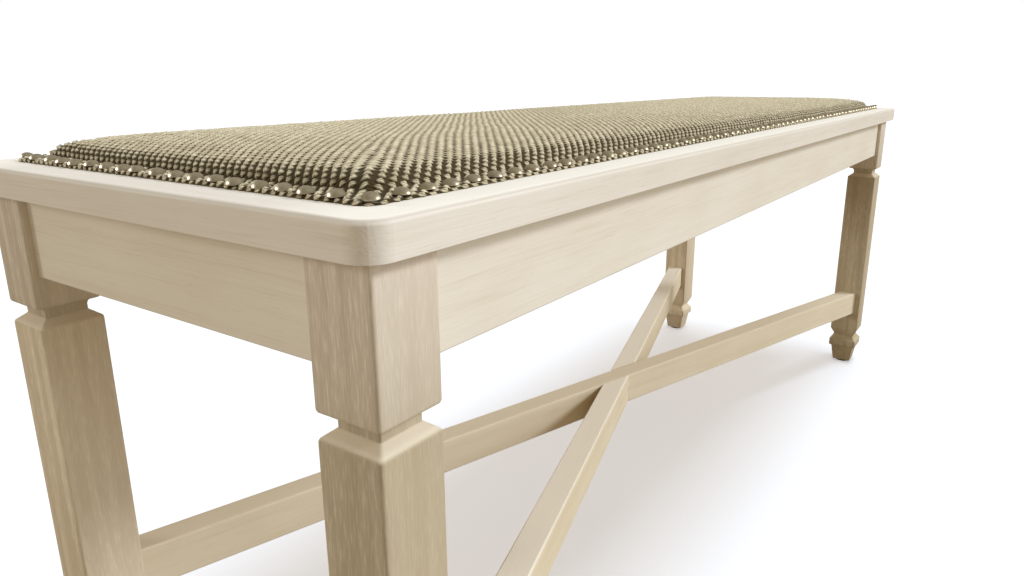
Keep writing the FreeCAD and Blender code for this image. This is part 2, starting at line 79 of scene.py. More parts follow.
def tint(code):
    """A colour written as sRGB hex, as linear values with full alpha."""
    parts = [int(code[i : i + 2], 16) / 255 for i in (1, 3, 5)]
    return [p / 12.92 if p <= 0.04045 else ((p + 0.055) / 1.055) ** 2.4 for p in parts] + [1.0]


def add(tree, kind, inputs=None, **settings):
    """Adds a shader node with its settings, and sets or links its inputs."""
    made = tree.nodes.new("ShaderNode" + kind)
    for name, setting in settings.items():
        setattr(made, name, setting)
    for name, given in (inputs or {}).items():
        if isinstance(given, bpy.types.NodeSocket):
            tree.links.new(given, made.inputs[name])
        else:
            made.inputs[name].default_value = given
    return made


def new_material(name):
    """A new material with a bare Principled shader, its node tree and that shader."""
    made = bpy.data.materials.new(name)
    made.use_nodes = True
    return made, made.node_tree, made.node_tree.nodes["Principled BSDF"]


def wiped_paint(name, grain, body, wash, streak, strength, fine_length=0.050):
    """Sprayed antique-white paint on birch, wiped along the grain: a satin film with fine brush
    and grain streaks, soft patches where more came off, and a few flecks. grain turns the
    streaks to run along the piece."""
    made, tree, shader = new_material(name)
    place = add(tree, "TexCoord").outputs["Object"]
    shares = {}
    fields = {}
    # each mark's length and width in metres, its detail, and where its noise starts to show
    for mark, length, width, detail, low, high, most in (
        ("patch", 0.090, 0.0600, 2.0, 0.35, 0.70, 0.6),
        ("broad", 0.240, 0.0090, 3.0, 0.40, 0.75, 0.6 * strength),
        ("fine", fine_length, 0.0012, 4.0, 0.48, 0.72, strength),
        ("fleck", 0.014, 0.0008, 1.0, 0.70, 0.80, 0.4 * strength),
    ):
        along = add(
            tree, "Mapping", {"Vector": place, "Rotation": grain, "Scale": (length, width, width)},
            vector_type="TEXTURE",
        )
        noise = {"Vector": along.outputs["Vector"], "Scale": 1.0, "Detail": detail}
        fields[mark] = add(tree, "TexNoise", noise).outputs["Fac"]
        if mark == "fine":  # the streaks come and go in bands
            bands = {"Value": fields["broad"], "From Min": 0.36, "From Max": 0.64}
            bands |= {"To Min": 0.3 * most, "To Max": 1.2 * most}
            most = add(tree, "MapRange", bands).outputs["Result"]
        reach = {"Value": fields[mark], "From Min": low, "From Max": high, "To Max": most}
        shares[mark] = add(tree, "MapRange", reach).outputs["Result"]
    colour = tint(body)
    for mark, code in (("patch", wash), ("broad", streak), ("fine", streak), ("fleck", "#8E7A5C")):
        mixed = add(tree, "Mix", {0: shares[mark], 6: colour, 7: tint(code)}, data_type="RGBA")
        colour = mixed.outputs[2]
    tree.links.new(colour, shader.inputs["Base Color"])
    reach = {"Value": fields["fine"], "From Min": 0.3, "From Max": 0.7, "To Min": 0.48, "To Max": 0.66}
    tree.links.new(add(tree, "MapRange", reach).outputs["Result"], shader.inputs["Roughness"])
    bump = add(tree, "Bump", {"Height": fields["fine"], "Strength": 0.3, "Distance": 0.0004})
    tree.links.new(bump.outputs["Normal"], shader.inputs["Normal"])
    return made


def over_coat(paint, share, code):
    """Lays another colour over a paint's own, as thickly as share says."""
    tree = paint.node_tree
    base = tree.nodes["Principled BSDF"].inputs["Base Color"]
    laid = add(tree, "Mix", {0: share, 6: base.links[0].from_socket, 7: tint(code)}, data_type="RGBA")
    tree.links.new(laid.outputs[2], base)


upright = (0.0, math.pi / 2, 0.0)
leg_paint = wiped_paint("wiped_paint_leg", upright, "#CDBFAE", "#C2B3A0", "#F2E9DA", 1.0, 0.012)
# fainter streaks on the smoother fronts and backs, and none on the slopes, which cross the grain; the upward
# slopes are also painted paler, a painted highlight where light from above falls
tree = leg_paint.node_tree
facing = add(tree, "SeparateXYZ", {0: add(tree, "NewGeometry").outputs["Normal"]}).outputs
frontal = add(tree, "Math", {0: facing[1]}, operation="ABSOLUTE").outputs[0]
reach = {"Value": frontal, "From Min": 0.6, "From Max": 0.9, "To Max": 0.55}
over_coat(leg_paint, add(tree, "MapRange", reach).outputs["Result"], "#D8CBB9")
# painted highlight: faces leaning up, such as the bevel on top of the shaft, are painted paler
slope = {"Value": facing[2], "From Min": 0.35, "From Max": 0.60}
over_coat(leg_paint, add(tree, "MapRange", slope | {"To Max": 0.9}).outputs["Result"], "#E2D6C2")
smoother = add(tree, "MapRange", slope | {"To Min": 0.3, "To Max": 0.02})
tree.links.new(smoother.outputs["Result"], tree.nodes["Bump"].inputs["Strength"])
# painted shade and light by height: the shaft is painted darker and yellower than the block, standing in for
# the dimmer light near the floor; the bevel on top of the shaft is painted paler as a painted highlight, and
# the neck under the block is painted darker as painted shadow
shading_low, shading_high = 0.30, 0.45  # the heights between which the painted shading's ramp runs
height = add(tree, "SeparateXYZ", {0: add(tree, "TexCoord").outputs["Object"]}).outputs[2]
share = add(tree, "MapRange", {"Value": height, "From Min": shading_low, "From Max": shading_high})
painted_shading = add(tree, "ValToRGB", {0: share.outputs["Result"]})
stops = painted_shading.color_ramp.elements
for stop_height, shade in (  # height in metres and how much the painted shading lets through there
    (0.3398, (0.70, 0.66, 0.55)), (0.3408, (0.96, 0.95, 0.91)), (0.3450, (1.0, 0.99, 0.96)),
    (0.3458, (0.74, 0.71, 0.62)), (0.3535, (0.74, 0.71, 0.62)), (0.3565, (0.90, 0.89, 0.84)),
    (0.430, (1.0, 1.0, 1.0)),
):
    stops.new((stop_height - shading_low) / (shading_high - shading_low)).color = (*shade, 1)
stops.remove(stops[-1])
stops.remove(stops[0])
base = tree.nodes["Principled BSDF"].inputs["Base Color"]
painted_shading_mix = add(
    tree, "Mix", {0: 1.0, 6: base.links[0].from_socket, 7: painted_shading.outputs["Color"]}, data_type="RGBA",
    blend_type="MULTIPLY",
)
tree.links.new(painted_shading_mix.outputs[2], base)
# the back legs, in the seat's shadow, get a copy whose shaft keeps almost none of the painted shade: painted
# light where the seat shades them
back_leg_paint = leg_paint.copy()
back_leg_paint.name = "wiped_paint_leg_back"
back_leg_paint.node_tree.nodes["Color Ramp"].color_ramp.elements[0].color = (1.0, 0.97, 0.86, 1)

bpy.ops.object.select_all(action="DESELECT")
bpy.ops.mesh.primitive_plane_add(size=2 * leg_rings[0][0], location=(0, 0, leg_rings[0][1]))
pattern_leg = bpy.context.object
bpy.ops.object.mode_set(mode="EDIT")
bpy.ops.mesh.select_all(action="SELECT")
bpy.ops.mesh.bevel(offset=leg_arris * leg_rings[0][0] / leg_half, segments=4, affect="VERTICES")
for (half, height), (next_half, next_height) in zip(leg_rings, leg_rings[1:]):
    bpy.ops.mesh.extrude_region_move(TRANSFORM_OT_translate={"value": (0, 0, next_height - height)})
    grow = next_half / half
    bpy.ops.transform.resize(value=(grow, grow, 1), center_override=(0, 0, next_height))
bpy.ops.mesh.select_all(action="SELECT")
bpy.ops.mesh.normals_make_consistent(inside=False)
bpy.ops.object.mode_set(mode="OBJECT")
bpy.ops.object.transform_apply(location=True, rotation=True, scale=True)
ease = pattern_leg.modifiers.new("ease", "BEVEL")
ease.width = 0.0005
ease.segments = 2
ease.limit_method = "ANGLE"
ease.angle_limit = math.radians(28)
bpy.ops.object.modifier_apply(modifier="ease")
bpy.ops.object.shade_smooth_by_angle(angle=math.radians(40))
pattern_leg.data.materials.append(leg_paint)
for corner in ("front_left", "front_right", "back_left", "back_right"):
    low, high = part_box(f"leg_{corner}")
    leg = pattern_leg.copy()
    leg.data = pattern_leg.data.copy()
    leg.name = f"moulded_leg_{corner}"
    leg.data.transform(Matrix.Translation(((low[0] + high[0]) / 2, (low[1] + high[1]) / 2, 0)))
    if corner.startswith("back"):
        leg.data.materials[0] = back_leg_paint
    scene.collection.objects.link(leg)
    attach(leg, "root")
    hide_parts(f"leg_{corner}")
bpy.data.objects.remove(pattern_leg)


# FOOT GLIDES
# Nailed glides of moulded plastic under the feet. Only their rims show.
def dress(node, material):
    """Gives a CAD piece its finish."""
    solids[node].material_slots[0].material = material


# dull dark plastic with a fine grit
glide_plastic, tree, shader = new_material("moulded_glide_plastic")
grit = add(tree, "TexNoise", {"Vector": add(tree, "TexCoord").outputs["Object"], "Scale": 900.0})
shade = add(tree, "Mix", {0: grit.outputs["Fac"], 6: tint("#2F2B24"), 7: tint("#4A443A")}, data_type="RGBA")
tree.links.new(shade.outputs[2], shader.inputs["Base Color"])
shader.inputs["Roughness"].default_value = 0.6
dress("foot_glides", glide_plastic)

# APRONS
# Flat birch rails, stub-tenoned into the legs and set back 5 mm from their faces, with the
# lower arrises rounded over. Same sprayed paint as the legs, but smoother and creamier.
lengthwise = (0.0, 0.0, 0.0)
crosswise = (0.0, 0.0, math.pi / 2)
rail_tones = ("#EAE2D4", "#E2D9C8", "#D2C7B0", 0.4)
rail_paint_long = wiped_paint("wiped_paint_rail_long", lengthwise, *rail_tones)
rail_paint_short = wiped_paint("wiped_paint_rail_short", crosswise, *rail_tones)
for side in ("front", "back"):
    dress(f"apron_{side}", rail_paint_long)
for side in ("left", "right"):
    dress(f"apron_{side}", rail_paint_short)


# BRACES UNDER THE SEAT
# Corner blocks glued behind the legs and two cross battens housed in the long aprons, sawn
# from plain unpainted birch, with zinc-plated pan-head screws driven up through them.
def bare_wood(name, grain, body, band):
    """Sawn, unfinished birch: matt, warm, with soft growth bands and fine saw marks."""
    made, tree, shader = new_material(name)
    place = add(tree, "TexCoord").outputs["Object"]
    colour = tint(body)
    for length, width, most in ((0.30, 0.012, 0.8), (0.04, 0.0012, 0.5)):  # bands, then fibres
        along = add(
            tree, "Mapping", {"Vector": place, "Rotation": grain, "Scale": (length, width, width)},
            vector_type="TEXTURE",
        )
        field = add(tree, "TexNoise", {"Vector": along.outputs["Vector"], "Scale": 1.0, "Detail": 4.0})
        reach = {"Value": field.outputs["Fac"], "From Min": 0.35, "From Max": 0.7, "To Max": most}
        share = add(tree, "MapRange", reach).outputs["Result"]
        colour = add(tree, "Mix", {0: share, 6: colour, 7: tint(band)}, data_type="RGBA").outputs[2]
    tree.links.new(colour, shader.inputs["Base Color"])
    shader.inputs["Roughness"].default_value = 0.75
    bump = add(tree, "Bump", {"Height": field.outputs["Fac"], "Strength": 0.4, "Distance": 0.0003})
    tree.links.new(bump.outputs["Normal"], shader.inputs["Normal"])
    return made


batten_wood = bare_wood("sawn_birch_crosswise", crosswise, "#CFB284", "#B08E5C")
for side in ("left", "right"):
    dress(f"seat_batten_{side}", batten_wood)
for corner, turn in (("front_left", 1), ("front_right", -1), ("back_left", -1), ("back_right", 1)):
    slant = (0.0, 0.0, -turn * math.pi / 4)
    dress(f"corner_block_{corner}", bare_wood(f"sawn_birch_{corner}", slant, "#CFB284", "#B08E5C"))
# bright plating, a little clouded
screw_steel, tree, shader = new_material("zinc_plated_steel")
shader.inputs["Metallic"].default_value = 1.0
place = add(tree, "TexCoord").outputs["Object"]
grit = add(tree, "TexNoise", {"Vector": place, "Scale": 700.0, "Detail": 3.0})
shade = add(tree, "Mix", {0: grit.outputs["Fac"], 6: tint("#8F8E88"), 7: tint("#B9B8B0")}, data_type="RGBA")
tree.links.new(shade.outputs[2], shader.inputs["Base Color"])
shader.inputs["Roughness"].default_value = 0.4
for node in ("seat_screws", "lap_screw"):
    dress(node, screw_steel)

# CROSS STRETCHER
# Two diagonal birch bars, tenoned into the legs and halved into each other, with softly rounded
# arrises. Painted like the rest, the lower bar a little darker and yellower than the upper one. Its
# upward faces are painted much paler, a painted highlight standing in for light from above.
bar_reach = (0.5655, 0.164)  # from the crossing to a leg, along and across the bench
cross_angle = math.atan2(bar_reach[1], bar_reach[0])
for name, angle, tones, top in (
    ("over", -cross_angle, ("#E6D9C0", "#DDCFB4", "#CFBF9E", 0.4), "#E6D9C0"),
    ("under", cross_angle, ("#E0D2B7", "#D6C7AA", "#C9B896", 0.4), "#FFF8E9"),
):
    bar_paint = wiped_paint(f"wiped_paint_{name}", (0.0, 0.0, angle), *tones)
    tree = bar_paint.node_tree
    # painted highlight: each bar's upward faces take the top colour, which on the lower bar is much paler
    level = add(tree, "SeparateXYZ", {0: add(tree, "NewGeometry").outputs["Normal"]}).outputs[2]
    top_light_share = add(tree, "MapRange", {"Value": level, "From Min": 0.4, "From Max": 0.9, "To Max": 0.8})
    over_coat(bar_paint, top_light_share.outputs["Result"], top)
    dress(f"stretcher_{name}", bar_paint)

# BORDER
# Four boards with mitred corners and a rounded top arris that frame the seat, with a loose
# tongue in each mitre. The flat tops of the long sides are painted paler, a painted highlight that
# almost hides the grain there, and the top arris is painted darker, painted shade laid over its highlight.
border_tones = ("#E5DDD1", "#DDD4C6", "#CEC2AD", 0.4)
border_paint_long = wiped_paint("wiped_paint_border_long", lengthwise, *border_tones)
border_paint_short = wiped_paint("wiped_paint_border_short", crosswise, *border_tones)
for paint in (border_paint_long, border_paint_short):
    tree = paint.node_tree
    # painted highlight: the flat tops of the long sides are painted paler
    level = add(tree, "SeparateXYZ", {0: add(tree, "NewGeometry").outputs["Normal"]}).outputs[2]
    flat_top = add(tree, "MapRange", {"Value": level, "From Min": 0.90, "From Max": 0.99, "To Max": 0.8})
    across = add(tree, "SeparateXYZ", {0: add(tree, "TexCoord").outputs["Object"]}).outputs[1]
    across = add(tree, "Math", {0: across}, operation="ABSOLUTE")
    long_side = add(tree, "MapRange", {"Value": across.outputs[0], "From Min": 0.125, "From Max": 0.175})
    painted_top_light = add(tree, "Math", {0: flat_top.outputs[0], 1: long_side.outputs[0]}, operation="MULTIPLY")
    over_coat(paint, painted_top_light.outputs[0], "#F8F1E4")
    # painted shade: the top arris, where the surface leans about 45 degrees, is painted darker
    off = add(tree, "Math", {0: level, 1: 0.68}, operation="SUBTRACT").outputs[0]
    off = add(tree, "Math", {0: off}, operation="ABSOLUTE").outputs[0]
    painted_arris_shade = add(tree, "MapRange", {"Value": off, "From Min": 0.30, "From Max": 0.02, "To Max": 0.75})
    over_coat(paint, painted_arris_shade.outputs["Result"], "#C6BCAC")
for side in ("front", "back"):
    dress(f"border_{side}", border_paint_long)
for side in ("left", "right"):
    dress(f"border_{side}", border_paint_short)
dress("mitre_splines", bare_wood("sawn_birch_tongue", crosswise, "#C9A877", "#AA8856"))

# SEAT BOARD
# A sheet of birch plywood dropped into the border's rebate. Its underside shows between the
# battens: a rotary-cut face veneer with wide, wandering figure.
plywood, tree, shader = new_material("birch_plywood")
place = add(tree, "TexCoord").outputs["Object"]
along = add(tree, "Mapping", {"Vector": place, "Scale": (0.55, 0.035, 0.02)}, vector_type="TEXTURE")
figure = add(
    tree, "TexNoise", {"Vector": along.outputs["Vector"], "Scale": 1.0, "Detail": 3.0, "Distortion": 0.6}
)
rings = add(tree, "Math", {0: figure.outputs["Fac"], 1: 46.0}, operation="MULTIPLY")
rings = add(tree, "Math", {0: rings.outputs["Value"]}, operation="SINE")
reach = {"Value": rings.outputs["Value"], "From Min": -1.0, "From Max": 1.0, "To Max": 0.7}
share = add(tree, "MapRange", reach).outputs["Result"]
shade = add(tree, "Mix", {0: share, 6: tint("#D8BC8E"), 7: tint("#C3A06C")}, data_type="RGBA")
tree.links.new(shade.outputs[2], shader.inputs["Base Color"])
shader.inputs["Roughness"].default_value = 0.7
dress("seat_board", plywood)

# FOAM
# A low slab of polyurethane foam, cut to the seat with its top edges rounded and its top
# crowned, glued to the board. The cover hides it.
low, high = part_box("foam_pad")
foam_inset = 0.014  # from the pad's foot to where the shoulders start to fall
foam_shoulder_run, foam_shoulder_rise = 0.0085, 0.0088
foam_crown, foam_crown_run = 0.0046, 0.110
foam_top = (high[0] - foam_inset, high[1] - foam_inset)
foam_rings = []  # half length, half depth and height of each ring, from the board up
for degrees in range(90, -1, -15):
    swing = math.radians(degrees)
    out = foam_shoulder_run * math.sin(swing)
    rise = foam_shoulder_rise * math.cos(swing)
    foam_rings.append((foam_top[0] + out, foam_top[1] + out, low[2] + rise))
for inset in (0.030, 0.070, foam_crown_run):
    rise = foam_shoulder_rise + foam_crown * (1 - (1 - inset / foam_crown_run) ** 2)
    foam_rings.append((foam_top[0] - inset, foam_top[1] - inset, low[2] + rise))
bpy.ops.object.select_all(action="DESELECT")
bpy.ops.mesh.primitive_plane_add(size=2, location=(0, 0, foam_rings[0][2]))
foam = bpy.context.object
foam.name = "foam_slab"
foam.scale = (foam_rings[0][0], foam_rings[0][1], 1)
bpy.ops.object.transform_apply(location=True, rotation=True, scale=True)
bpy.ops.object.mode_set(mode="EDIT")
bpy.ops.mesh.select_all(action="SELECT")
bpy.ops.mesh.bevel(offset=0.015, segments=5, affect="VERTICES")
for ring, next_ring in zip(foam_rings, foam_rings[1:]):
    bpy.ops.mesh.extrude_region_move(TRANSFORM_OT_translate={"value": (0, 0, next_ring[2] - ring[2])})
    grow = (next_ring[0] / ring[0], next_ring[1] / ring[1], 1)
    bpy.ops.transform.resize(value=grow, center_override=(0, 0, next_ring[2]))
bpy.ops.mesh.select_all(action="SELECT")
bpy.ops.mesh.normals_make_consistent(inside=False)
bpy.ops.object.mode_set(mode="OBJECT")
bpy.ops.object.shade_smooth()
# quite matt, with open pores of about 1.6 mm
foam_look, tree, shader = new_material("polyurethane_foam")
pores = add(
    tree, "TexVoronoi", {"Vector": add(tree, "TexCoord").outputs["Object"], "Scale": 1 / 0.0016}
)
shade = add(
    tree, "Mix", {0: pores.outputs["Distance"], 6: tint("#CFC39F"), 7: tint("#EFE6CC")}, data_type="RGBA"
)
tree.links.new(shade.outputs[2], shader.inputs["Base Color"])
shader.inputs["Roughness"].default_value = 0.95
foam.data.materials.append(foam_look)
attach(foam, "root")
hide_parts("foam_pad")

# FABRIC COVER
# One sheet of chunky two-tone basketweave, pale taupe bundles over an olive-brown ground,
# pulled down over the foam and nailed through a flat hem to the border.
low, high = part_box("fabric_cover")
border_top = low[2]
hem_edge = ((high[0] - low[0]) / 2, (high[1] - low[1]) / 2)
crown, crown_run = 0.0054, 0.080
shoulder_run, shoulder_rise = 0.0115, 0.0120
hem_rise, hem_fold = 0.0034, 0.0024
edge_run = 0.025  # from the top's edge to the hem's
pad_corner, hem_corner = 0.015, 0.010
fabric = 0.0018  # thickness
weave_height = 0.0020
ridge_share = 0.51  # how far the bundles join into slanting ridges
cells = (289, 109)  # weave cells along and across, each about 4.2 x 3.3 mm
samples = 4  # grid points to a weave cell each way
top_half = (hem_edge[0] - edge_run, hem_edge[1] - edge_run)
# side profile from the top's edge: down the shoulder, out along the hem and over its fold
turn = np.linspace(0, math.acos(hem_rise / shoulder_rise), 40)
fold = np.linspace(0, math.pi / 2, 12)
run = np.concatenate([shoulder_run * np.sin(turn), edge_run - hem_fold * (1 - np.sin(fold))])
drop = np.concatenate([
    shoulder_rise * (1 - np.cos(turn)),
    shoulder_rise - hem_rise + (hem_rise - 0.0002) * (1 - np.cos(fold)),
])
arc = np.concatenate([[0], np.cumsum(np.hypot(np.diff(run), np.diff(drop)))])
even = np.arange(0, arc[-1], 0.0002)
soften = np.exp(-0.5 * (np.arange(-12, 13) / 4.0) ** 2)
soften /= soften.sum()
run, drop = (np.convolve(np.pad(np.interp(even, arc, p), 12, "edge"), soften, "valid") for p in (run, drop))
flat_half = (top_half[0] + even[-1], top_half[1] + even[-1])


def pulled_down(u, v):
    """Where points of the flat sheet lie once it is pulled down over the pad."""
    past = [np.abs(u) - top_half[0], np.abs(v) - top_half[1]]
    s = np.maximum(*past)
    out = np.where(s > 0, np.interp(s, even, run), s)
    rise = crown * (1 - (1 - np.minimum(np.maximum(-s, 0) / crown_run, 1)) ** 2)
    z = border_top + shoulder_rise + rise - np.where(s > 0, np.interp(s, even, drop), 0)
    radius = np.interp(out, [-0.060, 0, shoulder_run, edge_run], [0.0002, pad_corner, pad_corner, hem_corner])
    on_end = past[0] >= past[1]
    aside = np.where(on_end, np.abs(v), np.abs(u))
    flat_side = np.where(on_end, top_half[1], top_half[0]) + s
    side = np.where(on_end, top_half[1], top_half[0]) + out - radius
    along = aside / np.maximum(flat_side, 1e-6) * (side + radius * math.pi / 4)
    angle = np.clip((along - side) / radius, 0, math.pi / 4)
    lateral = np.where(along < side, along, side + radius * np.sin(angle))
    outward = np.where(on_end, top_half[0], top_half[1]) + out - radius * (1 - np.cos(angle))
    x = np.where(on_end, outward, lateral) * np.sign(u)
    y = np.where(on_end, lateral, outward) * np.sign(v)
    return np.stack([x, y, z], -1)


# nail places: even rows with a workman's small errors
nail_inset = 0.00475
nail_rows = {}
chance = np.random.default_rng(11)
for side, count in (("front", 65), ("right", 17), ("back", 65), ("left", 17)):
    long_side = count > 20
    reach = (hem_edge[0] if long_side else hem_edge[1]) - nail_inset - 0.0025
    gap = 2 * reach / (count - 1 if long_side else count + 1)
    start = -reach if long_side else gap - reach
    where = start + gap * np.arange(count) + chance.normal(0, 0.0006, count)
    across = (hem_edge[1] if long_side else hem_edge[0]) - nail_inset + chance.normal(0, 0.0004, count)
    spots = {
        "front": (where, -across), "back": (where, across),
        "right": (across, where), "left": (-across, where),
    }[side]
    nail_rows[side] = np.stack(spots, -1)
nails = np.concatenate(list(nail_rows.values()))


def to_nail(points):
    """How far points are from the nearest nail, seen from above."""
    return np.min(np.hypot(points[:, None, 0] - nails[:, 0], points[:, None, 1] - nails[:, 1]), axis=1)


# the sheet, pulled down and let settle as cloth, held at its edge and its nails
settle = (180, 56)
bpy.ops.object.select_all(action="DESELECT")
bpy.ops.mesh.primitive_grid_add(x_subdivisions=settle[0], y_subdivisions=settle[1], size=1)
cloth = bpy.context.object
flat = np.empty(len(cloth.data.vertices) * 3)
cloth.data.vertices.foreach_get("co", flat)
flat = flat.reshape(-1, 3)[:, :2] * 2 * np.array(flat_half)
order = np.lexsort((flat[:, 0].round(5), flat[:, 1].round(5)))
pulled = pulled_down(flat[:, 0], flat[:, 1])
cloth.data.vertices.foreach_set("co", pulled.ravel())
cloth.data.update()
settled = pulled.copy()
past = np.maximum(np.abs(flat[:, 0]) - top_half[0], np.abs(flat[:, 1]) - top_half[1])
under_nail = (past > 0.018) & (to_nail(pulled) < 0.0045)
held = np.flatnonzero((past > even[-1] - 0.006) | under_nail)
group = cloth.vertex_groups.new(name="nailed")
group.add(held.tolist(), 1.0, "REPLACE")
pull = cloth.modifiers.new("pull", "CLOTH")
pull.settings.quality = 6
pull.settings.mass = 0.4
pull.settings.tension_stiffness = 30
pull.settings.compression_stiffness = 30
pull.settings.shear_stiffness = 15
pull.settings.bending_stiffness = 1.5
pull.settings.use_pressure = True
pull.settings.uniform_pressure_force = 0.3
pull.settings.effector_weights.gravity = 0
pull.settings.vertex_group_mass = "nailed"
pull.point_cache.frame_end = 20
for step in range(1, 21):
    scene.frame_set(step)
bpy.ops.object.modifier_apply(modifier="pull")
scene.frame_set(1)
after = np.empty(len(cloth.data.vertices) * 3)
cloth.data.vertices.foreach_get("co", after)
moved = after.reshape(-1, 3) - pulled
far = np.linalg.norm(moved, axis=1)
give = 0.0012  # the most that a point may move
settled = pulled + moved * (np.minimum(far, give) / np.maximum(far, 1e-9))[:, None]
bpy.data.objects.remove(cloth)
settled = settled[order].reshape(settle[1] + 1, settle[0] + 1, 3)
shift = settled - pulled[order].reshape(settled.shape)

# the same sheet woven: a fine grid whose points rise over each pale bundle
grid = (cells[0] * samples, cells[1] * samples)
u = np.linspace(-flat_half[0], flat_half[0], grid[0] + 1)
v = np.linspace(-flat_half[1], flat_half[1], grid[1] + 1)
uu, vv = np.meshgrid(u, v)
wander = 0.0006  # how far the threads stray from straight
uu = uu + wander * np.sin(uu * 31 + 2.1 * np.sin(vv * 23)) * np.sin(vv * 41 + 0.7)
vv = vv + wander * np.sin(vv * 37 + 1.7 * np.sin(uu * 19)) * np.sin(uu * 29 + 1.9)
body = pulled_down(uu, vv)
col = np.clip((uu / flat_half[0] + 1) / 2 * settle[0], 0, settle[0] - 1e-6)
row = np.clip((vv / flat_half[1] + 1) / 2 * settle[1], 0, settle[1] - 1e-6)
ci, ri = col.astype(int), row.astype(int)
fc, fr = (col - ci)[..., None], (row - ri)[..., None]
body = body + (
    shift[ri, ci] * (1 - fc) * (1 - fr) + shift[ri, ci + 1] * fc * (1 - fr)
    + shift[ri + 1, ci] * (1 - fc) * fr + shift[ri + 1, ci + 1] * fc * fr
)
normal = np.cross(np.gradient(body, axis=1), np.gradient(body, axis=0))
normal /= np.maximum(np.linalg.norm(normal, axis=-1, keepdims=True), 1e-12)
p = np.arange(grid[0] + 1) / samples
q = np.arange(grid[1] + 1) / samples
pp, qq = np.meshgrid(p, q)
slope, cross = np.cos(math.pi * (pp - qq)), np.cos(math.pi * (pp + qq))
stretch = np.maximum(  # the weave opens where it goes over the edge, most at the ends, less on the hem
    np.interp(np.abs(uu) - top_half[0], [-0.003, 0.003, 0.016, 0.022], [0, 1, 1, 0.5]),
    np.interp(np.abs(vv) - top_half[1], [-0.004, 0.004, 0.013, 0.020], [0, 0.85, 0.85, 0.35]),
)
over = ridge_share * slope - (1 - ridge_share) * cross - 0.55 * stretch
ramp = np.clip((over + 0.62) / 1.12, 0, 1)
two_strands = 1 - 0.25 * np.cos(2 * math.pi * (pp + qq))  # each bundle is parted down its middle
lump = ramp * ramp * (3 - 2 * ramp) * two_strands
plump = chance.normal(1.0, 0.15, (cells[1] + 1, cells[0] + 1)).clip(0.7, 1.3)
lump = lump * plump[qq.astype(int), pp.astype(int)]
hem_points = np.flatnonzero((body[..., 2] < border_top + hem_rise + 0.002).ravel())
press = np.zeros(lump.size)  # how far the nails press the weave flat
press[hem_points] = np.exp(-0.5 * (to_nail(body.reshape(-1, 3)[hem_points]) / 0.0040) ** 2)
press = press.reshape(lump.shape)
lump = lump * (1 - 0.7 * press) - 0.6
face = body + normal * (weave_height * (0.55 + 0.45 * stretch) * lump)[..., None]
face[..., 2] -= 0.0012 * press
face[..., 2] = np.maximum(face[..., 2], border_top + 0.0002)
stride = 4  # the hidden inner face needs only a coarse grid
inner = (body - normal * (fabric + 0.001))[::stride, ::stride]
inner[..., 2] = np.maximum(inner[..., 2], border_top + 0.0001)
count = face.shape[0] * face.shape[1]
index = np.arange(count).reshape(face.shape[:2])
inside = count + np.arange(inner.shape[0] * inner.shape[1]).reshape(inner.shape[:2])
quads = np.stack([index[:-1, :-1], index[:-1, 1:], index[1:, 1:], index[1:, :-1]], -1).reshape(-1, 4)
backs = np.stack([inside[:-1, :-1], inside[1:, :-1], inside[1:, 1:], inside[:-1, 1:]], -1).reshape(-1, 4)
rim = []
for outer_line, inner_line in (
    (index[0], inside[0]), (index[:, -1], inside[:, -1]),
    (index[-1, ::-1], inside[-1, ::-1]), (index[::-1, 0], inside[::-1, 0]),
):
    for k in range(len(inner_line) - 1):
        outer_part = outer_line[k * stride : (k + 1) * stride + 1]
        rim.append([*outer_part[::-1].tolist(), int(inner_line[k]), int(inner_line[k + 1])])
mesh = bpy.data.meshes.new("woven_cover")
points = np.concatenate([face.reshape(-1, 3), inner.reshape(-1, 3)])
mesh.from_pydata(points.tolist(), [], quads.tolist() + backs.tolist() + rim)
mesh.update()
cover = bpy.data.objects.new("woven_cover", mesh)
scene.collection.objects.link(cover)
mesh.polygons.foreach_set("use_smooth", np.ones(len(mesh.polygons), bool))
spread = np.concatenate([
    np.stack([pp / cells[0], qq / cells[1]], -1).reshape(-1, 2),
    np.stack([pp / cells[0], qq / cells[1]], -1)[::stride, ::stride].reshape(-1, 2),
])
corner_of = np.empty(len(mesh.loops), np.int32)
mesh.loops.foreach_get("vertex_index", corner_of)
sheet_map = mesh.uv_layers.new(name="OFBake")  # the flat sheet
sheet_map.data.foreach_set("uv", spread[corner_of].ravel())
opened = np.concatenate([stretch.ravel(), stretch[::stride, ::stride].ravel()])
mesh.attributes.new("stretch", "FLOAT", "POINT").data.foreach_set("value", opened)

# dry, matt yarn, each bundle of two strands and no two quite alike, with the dark ground between
basketweave, tree, shader = new_material("two_tone_basketweave")
sheet_place = add(tree, "UVMap", uv_map="OFBake").outputs["UV"]
count_cells = add(tree, "VectorMath", {0: sheet_place, 1: (cells[0], cells[1], 0)}, operation="MULTIPLY")
parts = add(tree, "SeparateXYZ", {0: count_cells.outputs[0]})
waves = {}
for name, turn_by, times in (
    ("slope", "SUBTRACT", math.pi), ("cross", "ADD", math.pi), ("strand", "ADD", 2 * math.pi),
):
    phase = add(tree, "Math", {0: parts.outputs[0], 1: parts.outputs[1]}, operation=turn_by)
    phase = add(tree, "Math", {0: phase.outputs[0], 1: times}, operation="MULTIPLY")
    waves[name] = add(tree, "Math", {0: phase.outputs[0]}, operation="COSINE").outputs[0]
check = add(tree, "Math", {0: waves["slope"], 1: ridge_share}, operation="MULTIPLY")
check = add(
    tree, "Math", {0: waves["cross"], 1: ridge_share - 1, 2: check.outputs[0]}, operation="MULTIPLY_ADD"
)
openness = add(tree, "Attribute", attribute_name="stretch").outputs["Fac"]
check = add(tree, "Math", {0: openness, 1: -0.58, 2: check.outputs[0]}, operation="MULTIPLY_ADD")
cell_id = add(tree, "VectorMath", {0: count_cells.outputs[0]}, operation="FLOOR")
